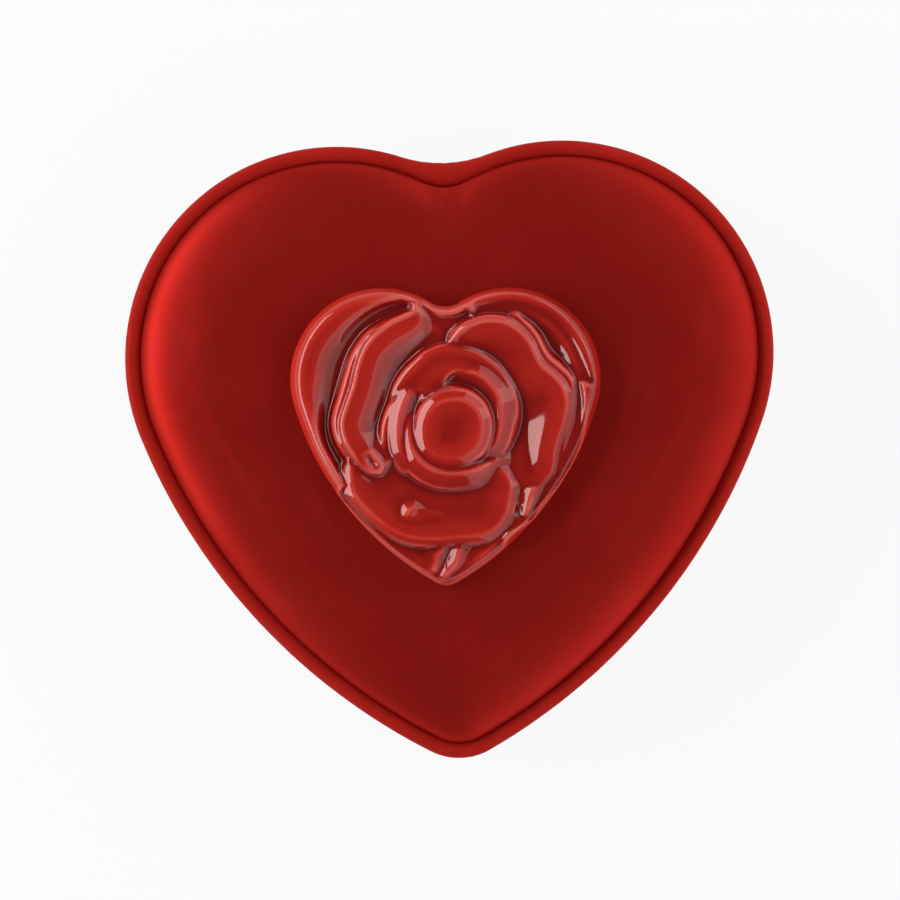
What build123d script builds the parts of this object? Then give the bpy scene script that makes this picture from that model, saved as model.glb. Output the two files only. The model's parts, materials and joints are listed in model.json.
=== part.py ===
"""Heart-shaped satin gift box: a rigid board base with a neck collar and card dividers,
and a lift-off lid with a padded satin top, a piped edge and a glazed rose heart.

Millimetres, +Z up. The origin is under the middle of the box, on the surface that it
stands on. The heart's tip points to -Y and its two lobes to +Y.
"""

import os
from math import cos, pi, sin, sqrt

from build123d import *

# Heart outline, measured over the piping
heart_width = 210.0
heart_length = 199.0
lobe_radius = 68.5
flank_radius = 198.0
tip_radius = 20.0
cleft_radius = 43.0

# Board, paper and cloth
floor_board = 2.5
base_wall_board = 2.0
top_board = 2.5
collar_board = 1.6
pad_card = 1.2
divider_card = 0.9
satin_wrap = 0.5
satin_top = 0.4
lining_paper = 0.4
under_paper = 0.5

# Heights
base_height = 26.0
lid_depth = 20.0
collar_rise = 12.0
divider_height = 24.0

# Turn-ins of the satin
side_turn_in = 12.0
edge_turn_in = 9.0
under_sheet_margin = 3.0

# Clearances
lid_fit = 0.4
board_fit = 0.1
lining_fit = 0.3
divider_fit = 0.4
slot_fit = 0.1
cloth_fit = 0.15

# Piping round the lid
piping_diameter = 4.6
piping_cover = 0.45
piping_overhang = 1.8
piping_fit = 0.1

# Padded top
pad_gap = 0.5
pad_cleft_radius = 14.0
pad_side = 2.6
pad_crown = 9.4
pad_shoulder = 24.0
pad_steps = 5

# Dividers
cell_pitch = 38.0
long_dividers = 4
cross_dividers = 4
cross_shift = 2.0

# Glazed rose heart, and where it lies on the lid
rose_width = 100.0
rose_length = 96.0
rose_lobe_radius = 29.5
rose_flank_radius = 97.5
rose_tip_radius = 6.0
rose_cleft_radius = 8.6
rose_rim_round = 4.0
rose_rim_lip = 4.8
rose_dish = 3.6
petal_lip = 1.5
petal_round = 1.0
petal_flank_slope = 1.4
rose_x = -1.9
rose_y = 4.6
rose_turn = -1.3
glue_thickness = 1.0
glue_margin = 14.0

# Petals in percent of the ornament's width, about the rose's eye. The outer ones share the heart's
# rim: rim height, and the angles between which they lie.
rose_eye = (0.4, 1.9)
rim_petals = [
    (9.2, 107, 208),
    (8.2, 78, 107),
    (9.3, 17, 78),
    (8.5, -25, 17),
    (8.0, -49, -25),
    (8.4, -95, -49),
    (8.1, -152, -95),
]

# The others, from the outside in: lip height, depth of the dish, the first and last angle,
# and the lip's radius at even steps between them.
inner_petals = [
    (10.0, 3.6, 84, -48, (27.5, 38.4, 38.7, 37.8, 38.8, 36.3, 37.8, 37.2)),
    (9.4, 1.8, -157, -40, (34.1, 36.3, 35.7, 35.2, 34.2, 26.0)),
    (10.2, 3.6, 106, 212, (38.4, 39.5, 36.3, 35.5, 32.8, 24.7)),
    (8.6, 0.8, -148, -28, (23.4, 23.5, 23.5, 24.3, 25.5, 23.3)),
    (8.8, 1.4, 45, -51, (23.5, 22.6, 20.7, 18.4, 16.7)),
    (9.9, 2.0, 143, 30, (21.1, 22.8, 25.0, 24.8, 23.2)),
    (9.0, 0.8, 128, 242, (16.3, 19.3, 20.9, 20.6, 19.8)),
    (10.4, 2.0, 79, -41, (18.5, 19.0, 19.0, 18.0, 16.7)),
    (11.0, 1.6, 127, 331, (14.4, 13.6, 13.7, 14.6, 15.1, 19.2)),
    (10.8, 1.4, 125, -76, (12.1, 12.1, 11.8, 11.7, 11.4, 10.7)),
    (12.8, 2.4, 60, 290, (9.0, 9.3, 9.4, 9.2, 8.8)),
    (12.7, 2.4, 75, -85, (8.8, 9.0, 9.0, 8.8)),
]


class Heart:
    """A heart made of tangent arcs: tip, two flanks, two lobes and the cleft."""

    def __init__(self, width, length, lobe, flank, tip, cleft):
        self.lobe, self.flank, self.tip, self.cleft = lobe, flank, tip, cleft
        self.lobe_at = Vector(width / 2 - lobe, length / 2 - lobe)
        self.tip_at = Vector(0, tip - length / 2)
        self.cleft_at = Vector(0, self.lobe_at.Y + sqrt((lobe + cleft) ** 2 - self.lobe_at.X**2))
        self.flank_at = self._flank_centre()

    def _flank_centre(self):
        """Centre of the arc that touches the lobe and the tip from inside."""
        to_tip = self.tip_at - self.lobe_at
        span = to_tip.length
        from_lobe, from_tip = self.flank - self.lobe, self.flank - self.tip
        along = (from_lobe**2 - from_tip**2 + span**2) / (2 * span)
        across = sqrt(from_lobe**2 - along**2)
        unit = to_tip / span
        return self.lobe_at + unit * along + Vector(unit.Y, -unit.X) * across

    def arcs(self, inset=0.0):
        """Centre, radius, start and end of each arc, anticlockwise from the tip, at an inset."""
        lobe, tip = self.lobe - inset, self.tip - inset
        flank, cleft = self.flank - inset, self.cleft + inset
        shoulder = self.lobe_at + (self.lobe_at - self.flank_at).normalized() * lobe
        crest = self.lobe_at + (self.cleft_at - self.lobe_at).normalized() * lobe
        if tip > 0:
            toe = self.tip_at + (self.tip_at - self.flank_at).normalized() * tip
        else:
            toe = Vector(0, self.flank_at.Y - sqrt(flank**2 - self.flank_at.X**2))

        def mirror(p):
            return Vector(-p.X, p.Y)

        chain = [
            (self.flank_at, flank, toe, shoulder),
            (self.lobe_at, lobe, shoulder, crest),
            (self.cleft_at, cleft, crest, mirror(crest)),
            (mirror(self.lobe_at), lobe, mirror(crest), mirror(shoulder)),
            (mirror(self.flank_at), flank, mirror(shoulder), mirror(toe)),
        ]
        if tip > 0:
            chain.append((self.tip_at, tip, mirror(toe), toe))
        return chain

    def face(self, inset=0.0, z=0.0):
        """The heart, drawn in by the inset, as a flat face at a height."""
        edges = []
        for centre, radius, start, end in self.arcs(inset):
            middle = centre + ((start + end) / 2 - centre).normalized() * radius
            edges.append(ThreePointArc(start, middle, end))
        return Pos(0, 0, z) * make_face(edges)

    def scaled(self, factor, z):
        """A smaller heart of the same shape about the same middle, at a height."""
        return Pos(0, 0, z) * scale(self.face(), factor)

    def drawn_in(self, inset):
        """The parallel heart inside this one."""
        return Heart(
            2 * (self.lobe_at.X + self.lobe - inset),
            2 * (self.lobe_at.Y + self.lobe - inset),
            self.lobe - inset,
            self.flank - inset,
            self.tip - inset,
            self.cleft + inset,
        )


def plate(heart, inset, low, high):
    """A flat heart-shaped board between two heights."""
    return extrude(heart.face(inset, low), high - low)


def ring(heart, outer, inner, low, high):
    """A heart-shaped wall between two insets and two heights."""
    return plate(heart, outer, low, high) - plate(heart, inner, low, high)


def tube(heart, inset, z, radius):
    """A round cord laid along the heart, one torus segment to each arc."""
    cord = []
    for centre, arc_radius, start, end in heart.arcs(inset):
        out = (start - centre).normalized()
        turn = out.get_signed_angle(end - centre, Vector(0, 0, 1))
        section = Plane(start + Vector(0, 0, z), x_dir=out, z_dir=Vector(-out.Y, out.X)) * Circle(radius)
        cord.append(revolve(section, Axis(centre, (0, 0, 1)), turn))
    return cord[0].fuse(*cord[1:])


box = Heart(heart_width, heart_length, lobe_radius, flank_radius, tip_radius, cleft_radius)

# Insets of the faces of the walls, from the piping's outer edge
side = piping_overhang
wall_out = side + satin_wrap
wall_in = wall_out + base_wall_board
collar_out = wall_in + satin_wrap
collar_in = collar_out + collar_board
lid_wall_in = wall_in - lid_fit

# Heights of the faces of the stack
wrap_low = under_paper
wall_low = wrap_low + satin_wrap
floor_top = wall_low + floor_board
lining_top = floor_top + lining_paper
wall_high = base_height - satin_wrap
collar_top = base_height + collar_rise
lid_low = base_height + satin_wrap
lid_high = base_height + lid_depth
board_low = lid_high - top_board
flange_low = lid_high + satin_wrap
flange_high = flange_low + piping_cover
card_low = flange_high + satin_top
pad_low = card_low + pad_card
cover_top = pad_low + pad_crown + satin_top
glue_top = cover_top + glue_thickness


def base_wrap():
    """Satin round the base wall, turned in over its top edge and under the floor."""
    skin = ring(box, side, wall_out, wrap_low, base_height)
    top = ring(box, side, collar_out, wall_high, base_height)
    inside = ring(box, wall_in, collar_out, base_height - side_turn_in, base_height)
    under = ring(box, side, side + edge_turn_in, wrap_low, wall_low)
    return skin + top + inside + under


def lid_wrap():
    """Satin round the lid wall, turned in at its lower edge and over the top board."""
    lining = lid_wall_in + satin_wrap
    skin = ring(box, side, wall_out, base_height, flange_low)
    edge = ring(box, side, lining, base_height, lid_low)
    inside = ring(box, lid_wall_in, lining, base_height, base_height + side_turn_in)
    over = ring(box, side, side + edge_turn_in, lid_high, flange_low)
    return skin + edge + inside + over


def piping():
    """The cotton cord and the satin strip sewn round it, with the flange that is glued down."""
    radius = piping_diameter / 2
    z = flange_low + radius
    bore = radius - piping_cover
    core = tube(box, radius, z, bore - piping_fit)
    flange = ring(box, radius, side + edge_turn_in, flange_low, flange_high)
    cover = tube(box, radius, z, radius) + flange - tube(box, radius, z, bore)
    return core, cover


pad_inset = piping_diameter + pad_gap
pad_half = heart_width / 2 - pad_inset
pad_heart = Heart(
    2 * pad_half,
    heart_length - 2 * pad_inset,
    lobe_radius - pad_inset,
    flank_radius - pad_inset,
    tip_radius - pad_inset,
    pad_cleft_radius,
)


def crowned(inset, low, side_top, crown_top):
    """A cushion drawn in by an inset: upright sides, then a round shoulder up to a flat middle."""
    heart = pad_heart.drawn_in(inset)
    reach = (pad_shoulder - inset) / (pad_half - inset)
    shoulder = []
    for step in range(pad_steps + 1):
        angle = pi / 2 * step / pad_steps
        z = side_top + (crown_top - side_top) * sin(angle)
        shoulder.append(heart.scaled(1 - reach * (1 - cos(angle)), z))
    return plate(heart, 0, low, side_top) + loft(shoulder)


def padded_top():
    """Card, foam and the satin drawn over them and turned under the card."""
    side_top = pad_low + pad_side
    outer = crowned(0, flange_high, side_top + satin_top, cover_top)
    inner = crowned(satin_top, card_low, side_top, cover_top - satin_top)
    cover = outer - inner - plate(pad_heart, edge_turn_in, flange_high, card_low)
    inset = satin_top + cloth_fit
    card = plate(pad_heart, inset, card_low, pad_low)
    foam = crowned(inset, pad_low, side_top - cloth_fit, cover_top - inset)
    return card, foam, cover


def divider_places():
    """Where the card strips stand: x of the long ones and y of the cross ones."""
    xs = [(i - (long_dividers - 1) / 2) * cell_pitch for i in range(long_dividers)]
    ys = [(i - (cross_dividers - 1) / 2) * cell_pitch + cross_shift for i in range(cross_dividers)]
    return xs, ys


def dividers():
    """Slotted strips: the long ones are cut from the top and the cross ones from below."""
    xs, ys = divider_places()
    room = plate(box, collar_in + divider_fit, lining_top, lining_top + divider_height)
    mid = lining_top + divider_height / 2
    gap = divider_card + 2 * slot_fit
    cut = divider_height / 2 + slot_fit
    strips = {}
    for number, x in enumerate(xs, 1):
        strip = Pos(x, 0, mid) * Box(divider_card, heart_length, divider_height)
        for y in ys:
            strip -= Pos(x, y, lining_top + divider_height - cut / 2) * Box(gap, gap, cut)
        strips[f"divider_long_{number}"] = strip & room
    for number, y in enumerate(ys, 1):
        strip = Pos(0, y, mid) * Box(heart_width, divider_card, divider_height)
        for x in xs:
            strip -= Pos(x, y, lining_top + cut / 2) * Box(gap, gap, cut)
        strips[f"divider_cross_{number}"] = strip & room
    return strips


rose = Heart(
    rose_width, rose_length, rose_lobe_radius, rose_flank_radius, rose_tip_radius, rose_cleft_radius
)
percent = rose_width / 100
eye = Vector(*rose_eye) * percent


def about_eye(angle, radius):
    """A point of the rose, by its angle and its distance from the eye."""
    return eye + Vector(radius, 0).rotate(Axis.Z, angle)


def rim_petal(height, first, last):
    """A sector of the heart's rounded rim, dished towards the eye."""
    body = plate(rose, 0, 0, height)
    body = fillet(body.edges().group_by(Axis.Z)[-1], rose_rim_round)
    mouth = rose.drawn_in(rose_rim_lip)
    dish = loft([mouth.scaled(1 / 2, height - rose_dish), mouth.face(0, height)])
    reach = rose_width
    arc = ThreePointArc(*(about_eye(angle, reach) for angle in (first, (first + last) / 2, last)))
    sector = make_face([arc, Line(arc @ 1, eye), Line(eye, arc @ 0)])
    return (body - dish) & extrude(sector, height)


def inner_petal(height, depth, first, last, radii):
    """A petal from its lip to the eye, with a rounded lip and a sloping flank, dished towards the eye."""
    step = (last - first) / (len(radii) - 1)

    def outline(draw, z):
        knots = [about_eye(first + i * step, r * percent * draw) for i, r in enumerate(radii)]
        lip = Spline(knots)
        return Pos(0, 0, z) * make_face([lip, Line(knots[-1], eye), Line(eye, knots[0])])

    reach = percent * sum(radii) / len(radii)
    mouth = 1 - petal_lip / reach
    foot = 1 + height / petal_flank_slope / reach
    body = loft([outline(foot, 0), outline(1, height)], ruled=True)
    dish = loft([outline(mouth / 2, height - depth), outline(mouth, height)], ruled=True)
    body -= dish
    lip = body.edges().group_by(Axis.Z)[-1].sort_by(SortBy.LENGTH)[-1]
    return fillet(lip, petal_round)


def rose_heart():
    """The glazed ceramic heart, placed on the lid: overlapping petals round a bud."""
    rim = [rim_petal(height * percent, first, last) for height, first, last in rim_petals]
    petals = [inner_petal(high * percent, deep * percent, *rest) for high, deep, *rest in inner_petals]
    middle = petals[0].fuse(*petals[1:])
    tallest = max(row[0] for row in inner_petals) * percent
    middle &= plate(rose, rose_rim_lip, 0, tallest)
    return Pos(rose_x, rose_y, glue_top) * Rot(0, 0, rose_turn) * middle.fuse(*rim)


def glue_pad():
    """Foam tape between the satin and the ceramic."""
    return Pos(rose_x, rose_y, cover_top) * Rot(0, 0, rose_turn) * extrude(
        rose.scaled(1 - 2 * glue_margin / rose_width, 0), glue_thickness
    )


def build():
    """Every piece of the box by its node name."""
    core, cover = piping()
    card, foam, satin = padded_top()
    pieces = {
        "base_board": plate(box, wall_in + board_fit, wall_low, floor_top),
        "base_wall": ring(box, wall_out, wall_in, wall_low, wall_high),
        "base_wrap": base_wrap(),
        "base_sheet": plate(box, side + under_sheet_margin, 0, under_paper),
        "floor_liner": plate(box, collar_in + lining_fit, floor_top, lining_top),
        "neck_collar": ring(box, collar_out, collar_in, floor_top, collar_top),
        "lid_board": plate(box, lid_wall_in + board_fit, board_low, lid_high),
        "lid_wall": ring(box, wall_out, lid_wall_in, lid_low, lid_high),
        "lid_wrap": lid_wrap(),
        "lid_liner": plate(box, lid_wall_in + lining_fit, board_low - lining_paper, board_low),
        "filler_card": plate(pad_heart, edge_turn_in + board_fit, lid_high, card_low),
        "piping_core": core,
        "piping_cover": cover,
        "pad_card": card,
        "foam_pad": foam,
        "satin_cover": satin,
        "glue_pad": glue_pad(),
        "rose_heart": rose_heart(),
    }
    pieces.update(dividers())
    return pieces


os.makedirs("parts", exist_ok=True)
for node, solid in build().items():
    export_step(solid, f"parts/{node}.step")
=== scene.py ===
"""Looks of a heart-shaped satin gift box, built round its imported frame.

The frame is in metres with +Z up. The heart's tip points to -Y, and its two lobes to +Y.
Sizes below are in millimetres unless a name ends in _m.
"""

from __future__ import annotations

import json
import logging
import math
from dataclasses import dataclass
from enum import Enum
from typing import Any

import bmesh
import bpy
import numpy as np
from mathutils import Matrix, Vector

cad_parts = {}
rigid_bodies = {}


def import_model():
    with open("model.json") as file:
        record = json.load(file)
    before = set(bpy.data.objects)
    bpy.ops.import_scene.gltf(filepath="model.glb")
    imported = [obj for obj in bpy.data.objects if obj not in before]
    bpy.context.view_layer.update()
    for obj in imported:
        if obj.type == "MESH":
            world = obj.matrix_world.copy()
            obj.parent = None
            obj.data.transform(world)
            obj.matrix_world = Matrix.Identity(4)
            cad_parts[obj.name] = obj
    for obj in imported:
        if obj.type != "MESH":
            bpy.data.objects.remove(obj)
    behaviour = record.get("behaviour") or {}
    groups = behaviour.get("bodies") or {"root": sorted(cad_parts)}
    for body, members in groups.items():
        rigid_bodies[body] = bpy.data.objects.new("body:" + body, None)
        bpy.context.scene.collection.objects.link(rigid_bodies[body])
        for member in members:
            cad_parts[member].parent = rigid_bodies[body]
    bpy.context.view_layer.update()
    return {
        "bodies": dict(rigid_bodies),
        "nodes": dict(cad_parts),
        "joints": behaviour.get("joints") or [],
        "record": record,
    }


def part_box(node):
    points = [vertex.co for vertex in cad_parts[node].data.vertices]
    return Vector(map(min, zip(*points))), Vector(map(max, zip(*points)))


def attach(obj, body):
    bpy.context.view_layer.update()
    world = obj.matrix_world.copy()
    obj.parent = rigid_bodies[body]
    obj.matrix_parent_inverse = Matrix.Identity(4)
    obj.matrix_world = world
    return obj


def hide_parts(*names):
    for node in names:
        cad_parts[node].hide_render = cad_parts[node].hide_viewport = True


MM = 0.001
# More than any distance here in millimetres, and than its square
FAR = 1e6
# Blender's wave texture turns by this many radians per unit of its scale
WAVE_TURN = 20
# Turns per loop and strength of each wave in an uneven line
Waves = tuple[tuple[int, float], ...]
# Inset and height of each point of an edge
Profile = tuple[tuple[float, float], ...]
log = logging.getLogger("heart_box")


class Body(Enum):
    """The two rigid bodies of the frame."""

    BASE = "base"
    LID = "lid"


class Thread(Enum):
    """How the satin lies on what it covers."""

    STRAIGHT = "straight"
    BIAS = "bias"


def linear(code: str) -> tuple[float, float, float, float]:
    """Turns an sRGB hex colour to linear light.

    Args:
        code: Six hex digits, with or without a leading hash sign.

    Returns:
        Red, green, blue and alpha.
    """
    digits = code.lstrip("#")
    parts = [int(digits[i : i + 2], 16) / 255 for i in (0, 2, 4)]
    red, green, blue = (p / 12.92 if p <= 0.04045 else ((p + 0.055) / 1.055) ** 2.4 for p in parts)
    return red, green, blue, 1.0


def add_node(
    tree: bpy.types.NodeTree, kind: str, sockets: dict[str | int, Any] | None = None, **settings: Any
) -> bpy.types.Node:
    """Adds a node with its settings and what goes into its sockets.

    Args:
        tree: The node tree.
        kind: The node's type name.
        sockets: Inputs by name or number. An output socket is linked, anything else is a value.
        settings: Properties of the node.

    Returns:
        The new node.
    """
    node = tree.nodes.new(kind)
    for name, value in settings.items():
        setattr(node, name, value)
    for key, value in (sockets or {}).items():
        if isinstance(value, bpy.types.NodeSocket):
            tree.links.new(value, node.inputs[key])
        else:
            node.inputs[key].default_value = value
    return node


def per_mm(size: float) -> float:
    """Scale of a noise whose features are about this many millimetres wide."""
    return 1 / (size * MM)


def bands_per_mm(pitch: float) -> float:
    """Scale of a banded wave that repeats at this pitch in millimetres."""
    return 2 * math.pi / (WAVE_TURN * pitch * MM)


@dataclass(frozen=True)
class Finish:
    """A material, made once and shared by the pieces that have it."""

    name: str

    def material(self) -> bpy.types.Material:
        """Gives the Blender material, and makes it the first time.

        Returns:
            The material.
        """
        found = bpy.data.materials.get(self.name)
        if found:
            return found
        made = bpy.data.materials.new(self.name)
        made.use_nodes = True
        tree = made.node_tree
        tree.nodes.clear()
        shader = add_node(tree, "ShaderNodeBsdfPrincipled", self.sockets(tree))
        add_node(tree, "ShaderNodeOutputMaterial", {"Surface": shader.outputs[0]})
        return made

    def sockets(self, tree: bpy.types.NodeTree) -> dict[str | int, Any]:
        """Adds the finish's patterns and gives what goes into its shader."""
        raise NotImplementedError


@dataclass(frozen=True)
class PolyesterSatin(Finish):
    """Dyed polyester satin: long floats reflect broadly, in the dye's own colour."""

    light: str = "#ae241e"
    shade: str = "#a51f19"
    dye: str = "#b0241d"
    thread: Thread = Thread.STRAIGHT
    cloud_mm: float = 30.0
    slub_mm: float = 0.9
    slub_share: float = 0.25
    slub_stretch: tuple[float, float, float] = (1.0, 0.14, 0.4)
    # Real threads are 0.1 mm apart. They are drawn coarser, so that they show at all.
    thread_mm: float = 0.6
    thread_share: float = 0.25
    relief: float = 0.03
    relief_mm: float = 0.1
    sheen: float = 0.75
    roughness: float = 0.47
    uneven: float = 0.015

    def sockets(self, tree: bpy.types.NodeTree) -> dict[str | int, Any]:
        """Adds clouds, slubs and threads, and gives what goes into the shader.

        Args:
            tree: The material's node tree.

        Returns:
            Values and links by socket.
        """
        place = add_node(tree, "ShaderNodeTexCoord").outputs["Object"]
        if self.thread is Thread.BIAS:
            turned = add_node(tree, "ShaderNodeMapping", {"Vector": place, "Rotation": (0, 0, math.pi / 4)})
            place = turned.outputs[0]
        cloud = add_node(
            tree, "ShaderNodeTexNoise", {"Vector": place, "Scale": per_mm(self.cloud_mm), "Detail": 3.0}
        )
        drawn = add_node(tree, "ShaderNodeMapping", {"Vector": place, "Scale": self.slub_stretch})
        slub = add_node(
            tree,
            "ShaderNodeTexNoise",
            {"Vector": drawn.outputs[0], "Scale": per_mm(self.slub_mm), "Detail": 2.0},
        )
        both = add_node(
            tree,
            "ShaderNodeMath",
            {0: slub.outputs[0], 1: self.slub_share, 2: cloud.outputs[0]},
            operation="MULTIPLY_ADD",
        )
        ramp = add_node(tree, "ShaderNodeValToRGB", {"Fac": both.outputs[0]})
        low, high = ramp.color_ramp.elements
        low.position, low.color = 0.4, linear(self.shade)
        high.position, high.color = 0.85, linear(self.light)
        rough = add_node(
            tree,
            "ShaderNodeMapRange",
            {
                "Value": slub.outputs[0],
                "From Min": 0.3,
                "From Max": 0.7,
                "To Min": self.roughness - self.uneven,
                "To Max": self.roughness + self.uneven,
            },
        )
        weave = add_node(
            tree,
            "ShaderNodeTexWave",
            {"Vector": place, "Scale": bands_per_mm(self.thread_mm), "Distortion": 1.5, "Detail": 1.0},
            wave_type="BANDS",
            bands_direction="X",
        )
        height = add_node(
            tree,
            "ShaderNodeMath",
            {0: weave.outputs[1], 1: self.thread_share, 2: slub.outputs[0]},
            operation="MULTIPLY_ADD",
        )
        bump = add_node(
            tree,
            "ShaderNodeBump",
            {"Height": height.outputs[0], "Strength": self.relief, "Distance": self.relief_mm * MM},
        )
        return {
            "Base Color": ramp.outputs[0],
            "Roughness": rough.outputs[0],
            "Normal": bump.outputs[0],
            "Metallic": self.sheen,
            "Specular Tint": linear(self.dye),
        }


@dataclass(frozen=True)
class RedGlaze(Finish):
    """Red glaze fired on earthenware: glassy, thin and pale on the ridges, deep where it pooled, with painted
    shade in grooves and dishes and painted light on bulges and the rim.
    """

    lip: str = "#d2574c"
    ridge: str = "#c02a1f"
    body: str = "#931610"
    # Deep pooled glaze, also standing for painted shade in grooves and dishes
    pooled_and_shaded: str = "#6a0b08"
    # A lead glaze bends light more than window glass, and the red under it warms what it mirrors
    mirrored: str = "#ffe0de"
    ior: float = 1.6
    cloud_mm: float = 14.0
    cloud_share: float = 0.16
    ripple_mm: float = 5.0
    ripple: float = 0.05
    ripple_depth_mm: float = 0.3
    roughness: float = 0.07

    def sockets(self, tree: bpy.types.NodeTree) -> dict[str | int, Any]:
        """Adds the glaze's depth with its painted shade and light, and its ripples, and gives what goes into
        the shader.

        Args:
            tree: The material's node tree.

        Returns:
            Values and links by socket.
        """
        place = add_node(tree, "ShaderNodeTexCoord").outputs["Object"]
        pool = add_node(tree, "ShaderNodeAttribute", attribute_name="pool")
        cloud = add_node(
            tree, "ShaderNodeTexNoise", {"Vector": place, "Scale": per_mm(self.cloud_mm), "Detail": 2.0}
        )
        drift = add_node(
            tree,
            "ShaderNodeMath",
            {0: cloud.outputs[0], 1: self.cloud_share, 2: -self.cloud_share / 2},
            operation="MULTIPLY_ADD",
        )
        depth = add_node(
            tree, "ShaderNodeMath", {0: pool.outputs["Fac"], 1: drift.outputs[0]}, operation="ADD"
        )
        ramp = add_node(tree, "ShaderNodeValToRGB", {"Fac": depth.outputs[0]})
        low, high = ramp.color_ramp.elements
        low.position, low.color = 0.02, linear(self.lip)
        # The darkest stop is pooled glaze together with painted shade
        high.position, high.color = 0.9, linear(self.pooled_and_shaded)
        ramp.color_ramp.elements.new(0.25).color = linear(self.ridge)
        ramp.color_ramp.elements.new(0.5).color = linear(self.body)
        ripple = add_node(
            tree, "ShaderNodeTexNoise", {"Vector": place, "Scale": per_mm(self.ripple_mm), "Detail": 1.0}
        )
        bump = add_node(
            tree,
            "ShaderNodeBump",
            {"Height": ripple.outputs[0], "Strength": self.ripple, "Distance": self.ripple_depth_mm * MM},
        )
        return {
            "Base Color": ramp.outputs[0],
            "Normal": bump.outputs[0],
            "Roughness": self.roughness,
            "IOR": self.ior,
            "Specular Tint": linear(self.mirrored),
        }


@dataclass(frozen=True)
class FibreSheet(Finish):
    """Board, card or paper: matt, with short pressed fibres and a faint cloudiness."""

    light: str = "#efe8da"
    shade: str = "#e4dccb"
    fibre_mm: float = 0.7
    fibre_share: float = 0.6
    cloud_mm: float = 12.0
    roughness: float = 0.85
    relief: float = 0.12
    relief_mm: float = 0.1

    def sockets(self, tree: bpy.types.NodeTree) -> dict[str | int, Any]:
        """Adds clouds and fibres, and gives what goes into the shader.

        Args:
            tree: The material's node tree.

        Returns:
            Values and links by socket.
        """
        place = add_node(tree, "ShaderNodeTexCoord").outputs["Object"]
        cloud = add_node(
            tree, "ShaderNodeTexNoise", {"Vector": place, "Scale": per_mm(self.cloud_mm), "Detail": 4.0}
        )
        fibre = add_node(
            tree,
            "ShaderNodeTexNoise",
            {"Vector": place, "Scale": per_mm(self.fibre_mm), "Detail": 3.0, "Distortion": 1.2},
        )
        both = add_node(
            tree,
            "ShaderNodeMath",
            {0: fibre.outputs[0], 1: self.fibre_share, 2: cloud.outputs[0]},
            operation="MULTIPLY_ADD",
        )
        ramp = add_node(tree, "ShaderNodeValToRGB", {"Fac": both.outputs[0]})
        low, high = ramp.color_ramp.elements
        low.position, low.color = 0.55, linear(self.shade)
        high.position, high.color = 1.0, linear(self.light)
        bump = add_node(
            tree,
            "ShaderNodeBump",
            {"Height": fibre.outputs[0], "Strength": self.relief, "Distance": self.relief_mm * MM},
        )
        return {"Base Color": ramp.outputs[0], "Normal": bump.outputs[0], "Roughness": self.roughness}


TOP_SATIN = PolyesterSatin("red_satin_padded_top")
WRAP_SATIN = PolyesterSatin("red_satin_glued_wrap")
PIPING_SATIN = PolyesterSatin(
    "red_satin_bias_piping", light="#b8261f", shade="#ae211a", thread=Thread.BIAS, sheen=0.25, roughness=0.6
)
ROSE_GLAZE = RedGlaze("red_glazed_earthenware")
GREYBOARD = FibreSheet("greyboard", light="#9b9488", shade="#857d71", fibre_mm=1.0, relief=0.2)
LINED_BOARD = FibreSheet("ivory_lined_collar_board")
CELL_CARD = FibreSheet("white_cell_card", light="#f2eee5", shade="#e8e2d6", fibre_mm=0.6)
LINING_PAPER = FibreSheet("ivory_lining_paper", light="#efe8da", shade="#e6dece", relief=0.08)
UNDER_PAPER = FibreSheet("dark_red_base_paper", light="#5a1512", shade="#4a100e", fibre_mm=0.8)
FOAM_TAPE = FibreSheet("white_foam_tape", light="#f0efe9", shade="#e2e0d8", fibre_mm=0.5, relief=0.3)


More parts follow.
